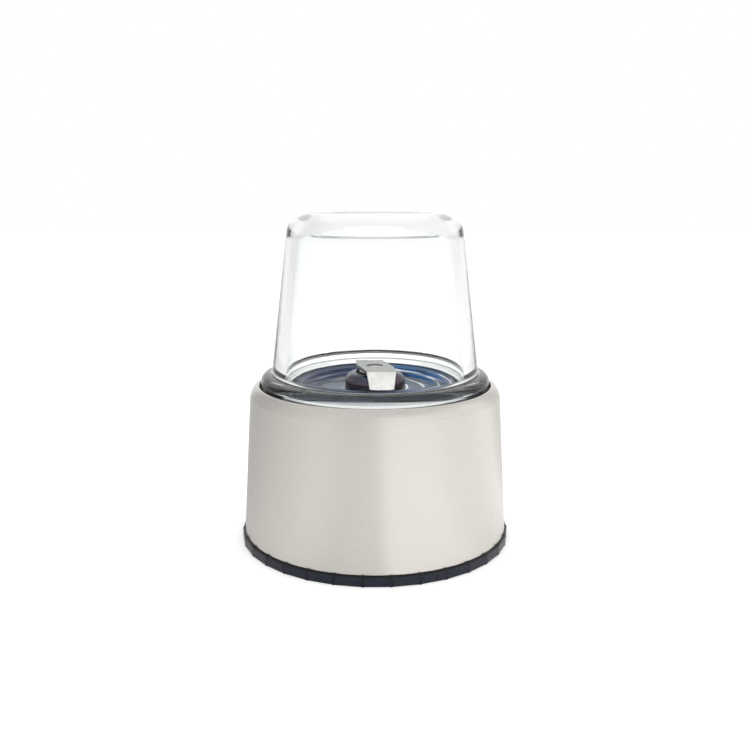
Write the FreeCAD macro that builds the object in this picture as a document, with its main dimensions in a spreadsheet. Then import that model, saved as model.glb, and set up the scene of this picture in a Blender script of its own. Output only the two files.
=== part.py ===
import FreeCAD, Part
import os
import re
import Sketcher

# A blender's dry mill: an inverted glass cup on a steel-clad base with a blade inside.
# Millimetres, +Z up, origin at the middle of the face that the base stands on.

doc = FreeCAD.newDocument("glass_grinder")
sheet = doc.addObject("Spreadsheet::Sheet", "sizes")

# Driving sizes: each can be set by itself
sizes = {
    # base ring, the black faceted foot
    "ring_ledge": 0.5,
    "ring_rise": 4.2,
    "rib_count": 32,
    "rib_width": 1.0,
    "rib_proud": 0.5,
    "rib_angle": 6.5,
    # socket that fits over the motor unit
    "socket_d": 94.0,
    "socket_depth": 14.0,
    "socket_lead": 0.8,
    "spigot_wall": 1.6,
    "key_count": 4,
    "key_width": 12.0,
    # brushed steel sleeve
    "sleeve_rise": 59.5,
    "sleeve_wall": 0.8,
    "sleeve_shoulder": 6.5,
    "lip_gap": 0.4,
    "lip_land": 4.0,
    "lip_angle": 35.0,
    "lip_round": 0.85,
    "lip_depth": 2.6,
    # inner body, the moulded frame of the base
    "skirt_wall": 5.0,
    "frame_wall": 2.4,
    "seat_depth": 12.0,
    "deck_thick": 3.0,
    "plateau_wall": 2.4,
    "plateau_thick": 3.0,
    "boss_wall": 4.0,
    "boss_length": 19.2,
    "web_count": 6,
    "web_thick": 2.0,
    # glass cup
    "mouth_d": 74.0,
    "neck_wall": 4.0,
    "neck_rise": 8.1,
    "bead_reach": 6.0,
    "bead_rise": 6.9,
    "bead_round": 3.4,
    "bead_rest": 3.4,
    "bead_slant": 1.1,
    "cup_top_d": 69.2,
    "cup_rise": 78.6,
    "cup_wall": 4.6,
    "cup_roof": 9.0,
    "cup_shoulder": 8.0,
    "cup_corner": 5.0,
    "punt_d": 46.0,
    "punt_depth": 1.8,
    # bayonet between cup and base
    "lug_count": 3,
    "lug_angle": 44.0,
    "lug_reach": 1.9,
    "lug_thick": 3.0,
    "lug_foot": 1.0,
    "ledge_angle": 62.0,
    "ledge_thick": 3.0,
    "stop_width_angle": 8.0,
    "lock_wall": 2.9,
    "lock_play": 0.4,
    # cup gasket
    "gasket_thick": 1.5,
    "gasket_lip": 1.0,
    "gasket_lip_rise": 1.6,
    # polished grinding dish
    "dish_gap": 1.0,
    "dish_sink": 0.5,
    "dish_thick": 0.8,
    "dish_depth": 3.0,
    "dish_skirt": 8.0,
    "inner_step_d": 50.8,
    "outer_step_d": 59.4,
    "step_rise": 0.9,
    "step_run": 0.9,
    # bearing housing, with the domed hub in the middle of the dish
    "hub_land": 5.0,
    "hub_rise": 6.5,
    "hub_round": 4.0,
    "stem_d": 18.0,
    "stem_length": 28.2,
    "seal_d": 15.0,
    "seal_rise": 3.4,
    "bush_d": 12.0,
    "bush_length": 12.0,
    "washer_thick": 0.8,
    "nut_flats": 24.0,
    "nut_thick": 5.0,
    # spindle and what is on it
    "spindle_d": 8.0,
    "bearing_gap": 0.04,
    "square_width": 4.8,
    "stake_d": 6.2,
    "stake_thick": 0.4,
    "spacer_d": 13.0,
    "spacer_thick": 1.0,
    "tail_d": 6.0,
    "clip_thick": 0.8,
    "clip_d": 12.4,
    "groove_depth": 0.4,
    "thrust_d": 15.0,
    "thrust_thick": 0.8,
    # bent blade
    "blade_thick": 1.2,
    "blade_waist": 13.5,
    "hip_reach": 3.5,
    "hip_width": 15.6,
    "bend_reach": 11.5,
    "bend_round": 1.2,
    "wing_width": 11.7,
    "wing_shift": 2.5,
    "wing_reach": 9.8,
    "wing_drop": 6.4,
    "tip_width": 9.3,
    "tip_shift": 2.7,
    "tip_nose": 1.3,
    "nose_width": 4.5,
    "nose_shift": 3.0,
    "blade_angle": -90.0,
    # drive coupling under the base
    "coupling_d": 26.0,
    "coupling_rise": 17.6,
    "star_d": 19.0,
    "star_core_d": 10.4,
    "star_depth": 10.0,
    "lobe_count": 6,
    "lobe_width": 3.4,
    "insert_flats": 11.0,
    "hex_count": 6,
    # screws
    "screw_d": 2.9,
    "screw_head_d": 5.4,
    "screw_head_thick": 1.6,
    "screw_length": 9.0,
    "slot_width": 0.8,
    "ring_screw_count": 4,
    # clearances, and how far a cutting shape reaches past what it cuts
    "overcut": 1.0,
    "fit_gap": 0.3,
    "run_gap": 0.4,
    "press_gap": 0.02,
}

# Places and radii that follow from the driving sizes
places = {
    "shoulder_level": "ring_rise + sleeve_rise",
    "base_top": "shoulder_level + lip_land * tan(lip_angle)",
    "lip_foot": "base_top - lip_depth",
    "socket_r": "socket_d / 2",
    "spigot_r": "socket_r + spigot_wall",
    "skirt_r": "spigot_r + fit_gap",
    "frame_foot_r": "skirt_r + skirt_wall",
    "sleeve_foot_r": "frame_foot_r + fit_gap + sleeve_wall",
    "facet_r": "sleeve_foot_r + ring_ledge",
    "ring_r": "facet_r + rib_proud",
    "mouth_r": "mouth_d / 2",
    "neck_r": "mouth_r + neck_wall",
    "bead_r": "neck_r + bead_reach",
    "cup_foot_r": "mouth_r + cup_wall",
    "lip_bore_r": "bead_r + lip_gap",
    "sleeve_top_r": "lip_bore_r + lip_land",
    "frame_top_r": "sleeve_top_r - sleeve_wall - fit_gap",
    "frame_taper": "(frame_foot_r - frame_top_r) / sleeve_rise",
    "frame_shoulder": "shoulder_level - sleeve_shoulder / 2 - fit_gap",
    "frame_lip": "lip_foot - fit_gap",
    "seat": "base_top - seat_depth",
    "deck_under": "seat - deck_thick",
    "cup_rim": "seat + gasket_thick",
    "bead_foot": "cup_rim + neck_rise",
    "bead_top": "bead_foot + bead_rise",
    "cup_top": "cup_rim + cup_rise",
    "roof_under": "cup_top - cup_roof",
    "lug_under": "cup_rim + lug_foot",
    "lug_r": "neck_r + lug_reach",
    "lock_bore_r": "lug_r + lock_play",
    "lock_r": "lock_bore_r + lock_wall",
    "lock_top": "bead_foot - lock_play",
    "ledge_r": "neck_r + lock_play",
    "ledge_under": "lug_under + lug_thick + fit_gap",
    "lug_pitch": "360 / lug_count",
    "stop_angle": "(lug_pitch - ledge_angle + stop_width_angle) / 2",
    "dish_rim": "base_top - dish_sink",
    "dish_floor": "dish_rim - dish_depth",
    "dish_under": "dish_floor - dish_thick",
    "dish_r": "mouth_r - dish_gap",
    "plateau_r": "dish_r - dish_thick - fit_gap / 2",
    "plateau_under": "dish_under - plateau_thick",
    "plateau_rim": "dish_under + 2 * step_rise",
    "boss_foot": "dish_under - boss_length",
    "web_foot": "boss_foot + washer_thick",
    "stem_hole_r": "stem_d / 2 + fit_gap / 2",
    "boss_r": "stem_hole_r + boss_wall",
    "hub_r": "seal_d / 2 + hub_land",
    "hub_top": "dish_floor + hub_rise",
    "stem_foot": "dish_floor - stem_length",
    "seal_seat": "hub_top - seal_rise",
    "spindle_shoulder": "hub_top + run_gap",
    "blade_under": "spindle_shoulder + spacer_thick",
    "blade_top": "blade_under + blade_thick",
    "thrust_foot": "stem_foot - bearing_gap - thrust_thick",
    "clip_foot": "thrust_foot - bearing_gap - clip_thick",
    "coupling_top": "clip_foot - run_gap",
    "coupling_foot": "coupling_top - coupling_rise",
    "star_top": "coupling_foot + star_depth",
    "ring_screw_r": "(skirt_r + frame_foot_r) / 2",
    "lock_screw_r": "(ledge_r + lock_r) / 2",
}

for row, (name, value) in enumerate(sizes.items(), 1):
    sheet.set("A%d" % row, name)
    sheet.set("B%d" % row, str(value))
    sheet.setAlias("B%d" % row, name)
doc.recompute()

pieces = []


def bound(formula):
    # Spell a formula out in cells of the sheet
    def spell(match):
        name = match.group()
        if name in sizes:
            return "sizes." + name
        if name in places:
            return "(" + bound(places[name]) + ")"
        return name
    return re.sub(r"[a-z][a-z_]*", spell, formula)


def piece(label):
    body = doc.addObject("PartDesign::Body", label)
    body.Label = label
    body.AllowCompound = True
    pieces.append(body)
    return body


def origin_part(body, role):
    return [part for part in body.Origin.OriginFeatures if part.Role == role][0]


def new_sketch(body, name, plane, level=None, turn=None):
    sketch = body.newObject("Sketcher::SketchObject", name)
    sketch.AttachmentSupport = (origin_part(body, plane), [""])
    sketch.MapMode = "FlatFace"
    if turn:
        axis = FreeCAD.Vector(0, 1, 0) if plane == "XZ_Plane" else FreeCAD.Vector(0, 0, 1)
        sketch.AttachmentOffset = FreeCAD.Placement(FreeCAD.Vector(), FreeCAD.Rotation(axis, 1))
        sketch.setExpression("AttachmentOffset.Rotation.Angle", bound(turn))
    if level:
        sketch.setExpression("AttachmentOffset.Base.z", bound(level))
    return sketch


def add_loop(sketch, corners):
    # A closed loop of lines through named corners, each placed by two formulas
    names = list(corners)
    count = len(names)
    first = sketch.GeometryCount
    for index in range(count):
        start = FreeCAD.Vector(index + 1, index * index, 0)
        end = FreeCAD.Vector(index + 2, (index + 1) * (index + 1), 0)
        if index == count - 1:
            end = FreeCAD.Vector(1, 0, 0)
        sketch.addGeometry(Part.LineSegment(start, end), False)
    for index in range(count):
        line = first + index
        following = first + (index + 1) % count
        sketch.addConstraint(Sketcher.Constraint("Coincident", line, 2, following, 1))
    for index, name in enumerate(names):
        for kind, formula in zip(("DistanceX", "DistanceY"), corners[name]):
            rule = sketch.addConstraint(Sketcher.Constraint(kind, -1, 1, first + index, 1, 1.0))
            sketch.renameConstraint(rule, name + kind[-1])
            sketch.setExpression("Constraints[%d]" % rule, bound(formula))


def corner(sketch, name):
    for index, rule in enumerate(sketch.Constraints):
        if rule.Name == name + "X":
            return sketch.Geometry[rule.Second].StartPoint
    raise KeyError(name)


def revolve(body, name, corners, angle=None, turn=None, cut=False):
    sketch = new_sketch(body, name + "_profile", "XZ_Plane", turn=turn)
    add_loop(sketch, corners)
    feature = body.newObject("PartDesign::Groove" if cut else "PartDesign::Revolution", name)
    feature.Profile = sketch
    feature.ReferenceAxis = (sketch, ["V_Axis"])
    feature.Angle = 360
    if angle:
        feature.Midplane = True
        feature.setExpression("Angle", bound(angle))
    doc.recompute()
    return feature


def rectangle(near, far, width):
    # Corners of a rectangle along X, centred on the X axis
    half = "(%s) / 2" % width
    return {
        "near_low": (near, "-" + half),
        "far_low": (far, "-" + half),
        "far_high": (far, half),
        "near_high": (near, half),
    }


def extrude(body, name, level, height, corners=None, circle=None, turn=None, cut=False, up=True):
    # A pad or a pocket from a level: of a loop of corners, or of a circle (offset, diameter)
    sketch = new_sketch(body, name + "_outline", "XY_Plane", level=level, turn=turn)
    if corners:
        add_loop(sketch, corners)
    if circle:
        offset, diameter = circle
        ring = Part.Circle(FreeCAD.Vector(1, 0, 0), FreeCAD.Vector(0, 0, 1), 1.0)
        sketch.addGeometry(ring, False)
        sketch.addConstraint(Sketcher.Constraint("PointOnObject", 0, 3, -1))
        rule = sketch.addConstraint(Sketcher.Constraint("DistanceX", -1, 1, 0, 3, 1.0))
        sketch.setExpression("Constraints[%d]" % rule, bound(offset))
        rule = sketch.addConstraint(Sketcher.Constraint("Diameter", 0, 2.0))
        sketch.setExpression("Constraints[%d]" % rule, bound(diameter))
    before = body.Shape.Volume if body.Tip else 0.0
    feature = body.newObject("PartDesign::Pocket" if cut else "PartDesign::Pad", name)
    feature.Profile = sketch
    feature.Type = "Length"
    feature.setExpression("Length", bound(height))
    feature.Reversed = up if cut else not up
    doc.recompute()
    if cut and not feature.Shape.Volume < before:
        raise ValueError("%s cuts nothing" % name)
    return feature


def repeat(body, features, count):
    pattern = body.newObject("PartDesign::PolarPattern", features[0].Name + "_ring")
    pattern.Originals = features
    pattern.Axis = (origin_part(body, "Z_Axis"), [""])
    pattern.Angle = 360
    pattern.setExpression("Occurrences", bound(count))
    body.Tip = pattern
    doc.recompute()
    return pattern


def flats(body, name, level, height, apothem, stock, count, turn=None):
    # Plane off the rim of a round stock into a ring of flats
    outside = "(%s) + overcut" % stock
    cut = extrude(body, name, level, height, rectangle(apothem, outside, stock), turn=turn, cut=True)
    return repeat(body, [cut], count)


def soften(body, base, profile, corners, radius, kind="Fillet"):
    # Round or bevel the circular edges that the named corners of a profile made
    rings = []
    for name in corners:
        point = corner(profile, name)
        for number, edge in enumerate(base.Shape.Edges, 1):
            if edge.Curve.TypeId != "Part::GeomCircle":
                continue
            height = edge.Curve.Center.z
            if abs(edge.Curve.Radius - point.x) < 1e-4 and abs(height - point.y) < 1e-4:
                rings.append("Edge%d" % number)
    feature = body.newObject("PartDesign::" + kind, base.Name + "_" + corners[0])
    feature.Base = (base, rings)
    feature.setExpression("Radius" if kind == "Fillet" else "Size", bound(radius))
    doc.recompute()
    return feature


def tube(body, name, inner, outer, foot, top):
    return revolve(body, name, {
        "inner_foot": (inner, foot),
        "outer_foot": (outer, foot),
        "outer_top": (outer, top),
        "inner_top": (inner, top),
    })


def screws(label, pitch, foot, count, turn):
    # A ring of slotted cheese-head screws, heads down
    body = piece(label)
    under_head = foot + " + screw_head_thick"
    head = extrude(body, label + "_head", foot, "screw_head_thick",
                   circle=(pitch, "screw_head_d"), turn=turn)
    shank = extrude(body, label + "_shank", under_head, "screw_length",
                    circle=(pitch, "screw_d"), turn=turn)
    slot = extrude(body, label + "_slot", foot, "screw_head_thick / 2", rectangle(
        "%s - screw_head_d" % pitch, "%s + screw_head_d" % pitch, "slot_width"), turn=turn, cut=True)
    repeat(body, [head, shank, slot], count)


# Steel sleeve: tapered sheet, its shoulder sloping up to a lip that is rolled down inside
body = piece("steel_sleeve")
inner_lip_r = "lip_bore_r + sleeve_wall"
slope_wall = "sleeve_wall / cos(lip_angle)"
sheet_section = revolve(body, "sheet_section", {
    "foot": ("sleeve_foot_r", "ring_rise"),
    "shoulder": ("sleeve_top_r", "shoulder_level"),
    "lip": ("lip_bore_r", "base_top"),
    "lip_edge": ("lip_bore_r", "lip_foot"),
    "lip_edge_inside": (inner_lip_r, "lip_foot"),
    "lip_inside": (inner_lip_r, "base_top - sleeve_wall * tan(lip_angle) - " + slope_wall),
    "shoulder_inside": ("sleeve_top_r - sleeve_wall",
                        "shoulder_level + sleeve_wall * tan(lip_angle) - " + slope_wall),
    "foot_inside": ("sleeve_foot_r - sleeve_wall", "ring_rise"),
})
profile = sheet_section.Profile[0]
rounded = soften(body, sheet_section, profile, ["shoulder"], "sleeve_shoulder")
rounded = soften(body, rounded, profile, ["shoulder_inside"], "sleeve_shoulder - sleeve_wall")
soften(body, rounded, profile, ["lip"], "lip_round")

# Base ring: a faceted foot with a spigot that fits over the motor unit
body = piece("base_ring")
ring = revolve(body, "ring_section", {
    "bore_foot": ("socket_r", "0"),
    "rim_foot": ("facet_r", "0"),
    "rim_top": ("facet_r", "ring_rise"),
    "spigot_root": ("spigot_r", "ring_rise"),
    "spigot_top": ("spigot_r", "socket_depth"),
    "bore_top": ("socket_r", "socket_depth"),
})
soften(body, ring, ring.Profile[0], ["bore_foot"], "socket_lead", kind="Chamfer")
flats(body, "facet", "0", "ring_rise", "facet_r * cos(180 / rib_count)",
      "facet_r", "rib_count", turn="rib_angle + 180 / rib_count")
rib = extrude(body, "rib", "0", "ring_rise", rectangle(
    "facet_r - 2 * rib_proud", "ring_r", "rib_width"), turn="rib_angle")
repeat(body, [rib], "rib_count")
key = extrude(body, "key_slot", "0", "socket_depth", rectangle(
    "socket_r - spigot_wall", "spigot_r", "key_width"), cut=True)
repeat(body, [key], "key_count")
hole = extrude(body, "screw_hole", "0", "ring_rise", circle=("ring_screw_r", "screw_d + 2 * fit_gap"),
               turn="180 / ring_screw_count", cut=True)
sink = extrude(body, "screw_sink", "0", "screw_head_thick + fit_gap", circle=(
    "ring_screw_r", "screw_head_d + 2 * fit_gap"), turn="180 / ring_screw_count", cut=True)
repeat(body, [hole, sink], "ring_screw_count")

# Inner body: skirt, deck, raised plateau, bearing boss and webs in one moulding
body = piece("inner_body")
revolve(body, "shell_section", {
    "boss_hole_foot": ("stem_hole_r", "boss_foot"),
    "boss_foot_rim": ("boss_r", "boss_foot"),
    "boss_root": ("boss_r", "plateau_under"),
    "plateau_inside": ("plateau_r - plateau_wall", "plateau_under"),
    "deck_inside": ("plateau_r - plateau_wall", "deck_under"),
    "deck_outside": ("frame_top_r - frame_wall + frame_taper * seat_depth", "deck_under"),
    "skirt_shoulder": ("skirt_r", "socket_depth + skirt_wall"),
    "skirt_inside": ("skirt_r", "ring_rise"),
    "skirt_outside": ("frame_foot_r", "ring_rise"),
    "frame_shoulder": ("frame_top_r + frame_taper * (shoulder_level - frame_shoulder)", "frame_shoulder"),
    "frame_edge": ("lip_bore_r + 2 * sleeve_wall", "frame_lip"),
    "frame_lip": ("lock_r + fit_gap", "frame_lip"),
    "seat_outside": ("lock_r + fit_gap", "seat"),
    "seat_inside": ("plateau_r", "seat"),
    "plateau_shoulder": ("plateau_r", "plateau_rim"),
    "plateau_lip": ("outer_step_d / 2 + step_run + dish_thick", "plateau_rim"),
    "pan_edge": ("outer_step_d / 2 + step_run + dish_thick", "dish_under"),
    "washer_edge": ("boss_r + washer_thick", "dish_under"),
    "washer_corner": ("boss_r + washer_thick", "dish_under - washer_thick"),
    "boss_hole_top": ("stem_hole_r", "dish_under - washer_thick"),
})
web = extrude(body, "web_low", "web_foot", "deck_under - web_foot + deck_thick / 2", rectangle(
    "boss_r - boss_wall / 2", "skirt_r + fit_gap", "web_thick"))
high_rise = "plateau_under - deck_under + plateau_thick / 2"
web_high = extrude(body, "web_high", "deck_under", high_rise, rectangle(
    "boss_r - boss_wall / 2", "plateau_r - plateau_wall / 2", "web_thick"))
repeat(body, [web, web_high], "web_count")
pilot = extrude(body, "ring_screw_pilot", "ring_rise", "screw_length", circle=(
    "ring_screw_r", "screw_d + fit_gap / 2"), turn="180 / ring_screw_count", cut=True)
repeat(body, [pilot], "ring_screw_count")
pass_hole = extrude(body, "lock_screw_hole", "deck_under", "deck_thick", circle=(
    "lock_screw_r", "screw_d + 2 * fit_gap"), turn="stop_angle", cut=True)
repeat(body, [pass_hole], "lug_count")

screws("ring_screws", "ring_screw_r", "fit_gap", "ring_screw_count", "180 / ring_screw_count")

# Lock ring: inward ledges that hold the cup's lugs down, each ending in a stop
body = piece("lock_ring")
tube(body, "lock_wall_ring", "lock_bore_r", "lock_r", "seat", "lock_top")
ledge = revolve(body, "ledge", {
    "ledge_tip_foot": ("ledge_r", "ledge_under"),
    "ledge_root_foot": ("lock_bore_r + lock_wall / 2", "ledge_under"),
    "ledge_root_top": ("lock_bore_r + lock_wall / 2", "ledge_under + ledge_thick"),
    "ledge_tip_top": ("ledge_r", "ledge_under + ledge_thick"),
}, angle="ledge_angle", turn="lug_pitch / 2")
stop = revolve(body, "stop", {
    "stop_tip_foot": ("ledge_r", "seat"),
    "stop_root_foot": ("lock_bore_r + lock_wall / 2", "seat"),
    "stop_root_top": ("lock_bore_r + lock_wall / 2", "ledge_under + ledge_thick"),
    "stop_tip_top": ("ledge_r", "ledge_under + ledge_thick"),
}, angle="stop_width_angle", turn="stop_angle")
repeat(body, [ledge, stop], "lug_count")
pilot = extrude(body, "lock_screw_pilot", "seat", "screw_length - deck_thick + fit_gap", circle=(
    "lock_screw_r", "screw_d + fit_gap / 2"), turn="stop_angle", cut=True)
repeat(body, [pilot], "lug_count")

screws("lock_ring_screws", "lock_screw_r", "deck_under - screw_head_thick", "lug_count", "stop_angle")

# Glass cup: pressed glass, mouth down, with a rolled bead and three lugs on its neck
body = piece("glass_cup")
outside = revolve(body, "cup_outside", {
    "rim_axis": ("0", "cup_rim"),
    "rim": ("neck_r", "cup_rim"),
    "neck": ("neck_r", "bead_foot"),
    "bead_heel": ("neck_r + bead_rest", "bead_foot + bead_slant"),
    "bead_low": ("bead_r", "bead_top - bead_round - press_gap"),
    "bead_high": ("bead_r", "bead_top"),
    "wall_foot": ("cup_foot_r", "bead_top"),
    "shoulder": ("cup_top_d / 2", "cup_top"),
    "top_axis": ("0", "cup_top"),
})
profile = outside.Profile[0]
rounded = soften(body, outside, profile, ["shoulder"], "cup_shoulder")
rounded = soften(body, rounded, profile, ["bead_high"], "bead_round")
rounded = soften(body, rounded, profile, ["bead_heel"], "cup_wall / 3")
soften(body, rounded, profile, ["wall_foot"], "cup_wall / 3")
inside = revolve(body, "cup_inside", {
    "mouth_axis": ("0", "cup_rim - overcut"),
    "mouth": ("mouth_r", "cup_rim - overcut"),
    "throat": ("mouth_r", "bead_top"),
    "roof_corner": ("cup_top_d / 2 - cup_wall + (cup_foot_r - cup_top_d / 2)"
                    " * cup_roof / (cup_top - bead_top)", "roof_under"),
    "roof_axis": ("0", "roof_under"),
}, cut=True)
soften(body, inside, inside.Profile[0], ["roof_corner"], "cup_corner")
extrude(body, "punt", "cup_top - punt_depth", "punt_depth + overcut", circle=("0", "punt_d"), cut=True)
lug = revolve(body, "lug", {
    "lug_root_foot": ("(mouth_r + neck_r) / 2", "lug_under"),
    "lug_tip_foot": ("lug_r", "lug_under"),
    "lug_tip_top": ("lug_r", "lug_under + lug_thick"),
    "lug_root_top": ("(mouth_r + neck_r) / 2", "lug_under + lug_thick"),
}, angle="lug_angle")
repeat(body, [lug], "lug_count")

# Cup gasket: a flat seal under the glass rim with a lip inside the mouth
body = piece("cup_gasket")
revolve(body, "gasket_section", {
    "inner_foot": ("plateau_r + fit_gap", "seat"),
    "outer_foot": ("neck_r", "seat"),
    "outer_top": ("neck_r", "cup_rim"),
    "lip_root": ("plateau_r + fit_gap + gasket_lip", "cup_rim"),
    "lip_outer": ("plateau_r + fit_gap + gasket_lip", "cup_rim + gasket_lip_rise"),
    "lip_inner": ("plateau_r + fit_gap", "cup_rim + gasket_lip_rise"),
})

# Grinding dish: a polished pressing with two concentric steps and a turned-down skirt
body = piece("grinding_dish")
revolve(body, "dish_section", {
    "eye_under": ("stem_hole_r", "dish_under"),
    "inner_under": ("inner_step_d / 2 + dish_thick / 2", "dish_under"),
    "inner_under_top": ("inner_step_d / 2 + step_run + dish_thick / 2", "dish_under + step_rise"),
    "outer_under": ("outer_step_d / 2 + dish_thick / 2", "dish_under + step_rise"),
    "outer_under_top": ("outer_step_d / 2 + step_run + dish_thick / 2", "dish_under + 2 * step_rise"),
    "rim_under": ("dish_r - dish_thick", "dish_rim - dish_thick"),
    "skirt_inside": ("dish_r - dish_thick", "dish_rim - dish_skirt"),
    "skirt_outside": ("dish_r", "dish_rim - dish_skirt"),
    "rim": ("dish_r", "dish_rim - dish_thick / 2"),
    "rim_top": ("dish_r - dish_thick / 2", "dish_rim"),
    "outer_step_top": ("outer_step_d / 2 + step_run", "dish_floor + 2 * step_rise"),
    "outer_step": ("outer_step_d / 2", "dish_floor + step_rise"),
    "inner_step_top": ("inner_step_d / 2 + step_run", "dish_floor + step_rise"),
    "inner_step": ("inner_step_d / 2", "dish_floor"),
    "eye": ("stem_hole_r", "dish_floor"),
})

body = piece("dish_washer")
tube(body, "washer_ring", "stem_hole_r", "boss_r", "dish_under - washer_thick", "dish_under")

# Bearing housing: the domed hub above the dish and the stem that passes through the base
body = piece("bearing_housing")
housing = revolve(body, "housing_section", {
    "stem_foot": ("stem_d / 2", "stem_foot"),
    "stem_top": ("stem_d / 2", "dish_floor"),
    "hub_foot": ("hub_r", "dish_floor"),
    "hub_edge": ("hub_r", "hub_top"),
    "seal_mouth": ("seal_d / 2", "hub_top"),
    "seal_corner": ("seal_d / 2", "seal_seat"),
    "upper_mouth": ("bush_d / 2", "seal_seat"),
    "upper_stop": ("bush_d / 2", "seal_seat - bush_length"),
    "upper_relief": ("(bush_d + spindle_d) / 4", "seal_seat - bush_length"),
    "lower_relief": ("(bush_d + spindle_d) / 4", "stem_foot + bush_length"),
    "lower_stop": ("bush_d / 2", "stem_foot + bush_length"),
    "lower_mouth": ("bush_d / 2", "stem_foot"),
})
soften(body, housing, housing.Profile[0], ["hub_edge"], "hub_round")

bearing_r = "spindle_d / 2 + bearing_gap"
body = piece("upper_bush")
tube(body, "upper_bush_ring", bearing_r, "bush_d / 2 - press_gap", "seal_seat - bush_length", "seal_seat")
body = piece("lower_bush")
tube(body, "lower_bush_ring", bearing_r, "bush_d / 2 - press_gap", "stem_foot", "stem_foot + bush_length")

# Shaft seal: a rubber ring with a lip that leans on the spindle
body = piece("shaft_seal")
revolve(body, "seal_section", {
    "heel": (bearing_r, "seal_seat"),
    "case_foot": ("seal_d / 2 - press_gap", "seal_seat"),
    "case_top": ("seal_d / 2 - press_gap", "hub_top - run_gap"),
    "case_inside": ("seal_d / 2 - seal_rise / 4", "hub_top - run_gap"),
    "cup_outside": ("seal_d / 2 - seal_rise / 4", "seal_seat + seal_rise / 3"),
    "cup_inside": ("spindle_d / 2 + seal_rise / 4", "seal_seat + seal_rise / 3"),
    "lip_outside": ("spindle_d / 2 + seal_rise / 6", "hub_top - run_gap"),
    "lip": (bearing_r, "hub_top - run_gap"),
})

body = piece("lock_washer")
tube(body, "lock_washer_ring", "stem_hole_r", "boss_r", "boss_foot - washer_thick", "boss_foot")

body = piece("housing_nut")
tube(body, "nut_blank", "stem_hole_r", "nut_flats / 2 / cos(180 / hex_count)",
     "boss_foot - washer_thick - nut_thick", "boss_foot - washer_thick")
flats(body, "nut_flat", "boss_foot - washer_thick - nut_thick", "nut_thick",
      "nut_flats / 2", "nut_flats", "hex_count")

# Spindle: ground shaft with a clip groove, a square for the blade and a staked end
body = piece("spindle")
revolve(body, "spindle_turning", {
    "tail_axis": ("0", "star_top"),
    "tail_foot": ("tail_d / 2", "star_top"),
    "tail_top": ("tail_d / 2", "coupling_top"),
    "collar_foot": ("spindle_d / 2", "coupling_top"),
    "groove_foot_rim": ("spindle_d / 2", "clip_foot"),
    "groove_foot": ("spindle_d / 2 - groove_depth", "clip_foot"),
    "groove_top": ("spindle_d / 2 - groove_depth", "thrust_foot"),
    "groove_top_rim": ("spindle_d / 2", "thrust_foot"),
    "shoulder": ("spindle_d / 2", "spindle_shoulder"),
    "shoulder_axis": ("0", "spindle_shoulder"),
})
extrude(body, "square", "spindle_shoulder", "blade_top - spindle_shoulder - 2 * stake_thick", rectangle(
    "-square_width / 2", "square_width / 2", "square_width"), turn="blade_angle")
extrude(body, "stake", "blade_top - 2 * stake_thick", "stake_thick", circle=("0", "stake_d"))

body = piece("blade_spacer")
square_reach = "square_width / 2 * sqrt(2)"
tube(body, "spacer_ring", square_reach + " + press_gap", "spacer_d / 2", "spindle_shoulder", "blade_under")

# Blade: a strip with staggered wings that are bent down towards the dish, each with a trimmed nose
body = piece("grinding_blade")
slope = "atan(wing_drop / wing_reach)"
tip = "bend_reach + wing_reach"
strip = new_sketch(body, "blade_strip", "XZ_Plane", turn="blade_angle")
add_loop(strip, {
    "middle_under": ("0", "blade_under"),
    "bend_under": ("bend_reach - blade_thick * tan(%s / 2)" % slope, "blade_under"),
    "tip_under": ("%s - blade_thick * sin(%s)" % (tip, slope),
                  "blade_top - wing_drop - blade_thick * cos(%s)" % slope),
    "tip_top": (tip, "blade_top - wing_drop"),
    "bend_top": ("bend_reach", "blade_top"),
    "middle_top": ("0", "blade_top"),
})
stock = "hip_width / 2 + wing_shift"
wing = body.newObject("PartDesign::Pad", "wing")
wing.Profile = strip
wing.Midplane = True
wing.setExpression("Length", bound("2 * (%s)" % stock))
doc.recompute()
trim_level = "blade_top - wing_drop - 2 * blade_thick"
trim_rise = "wing_drop + 3 * blade_thick"
waste = "%s + overcut" % stock
past_tip = "%s + overcut" % tip
left_trim = extrude(body, "left_trim", trim_level, trim_rise, {
    "left_waist": ("0", "-blade_waist / 2"),
    "left_bend": ("bend_reach", "wing_shift - wing_width / 2"),
    "left_tip": (tip + " - tip_nose", "tip_shift - tip_width / 2"),
    "left_nose": (tip, "nose_shift - nose_width / 2"),
    "left_past_nose": (past_tip, "nose_shift - nose_width / 2"),
    "left_past_tip": (past_tip, "-(%s)" % waste),
    "left_past_waist": ("0", "-(%s)" % waste),
}, turn="blade_angle", cut=True)
right_trim = extrude(body, "right_trim", trim_level, trim_rise, {
    "right_waist": ("0", "blade_waist / 2"),
    "right_hip": ("hip_reach", "hip_width / 2"),
    "right_bend": ("bend_reach", "wing_shift + wing_width / 2"),
    "right_tip": (tip + " - tip_nose", "tip_shift + tip_width / 2"),
    "right_nose": (tip, "nose_shift + nose_width / 2"),
    "right_past_nose": (past_tip, "nose_shift + nose_width / 2"),
    "right_past_tip": (past_tip, waste),
    "right_past_waist": ("0", waste),
}, turn="blade_angle", cut=True)
pair = repeat(body, [wing, left_trim, right_trim], "2")
bend = corner(strip, "bend_top")
heading = FreeCAD.Rotation(FreeCAD.Vector(0, 0, 1), sizes["blade_angle"]).multVec(FreeCAD.Vector(1, 0, 0))


def on_bend(end):
    return abs(abs(end.Point.dot(heading)) - bend.x) < 1e-4 and abs(end.Z - bend.y) < 1e-4


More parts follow.
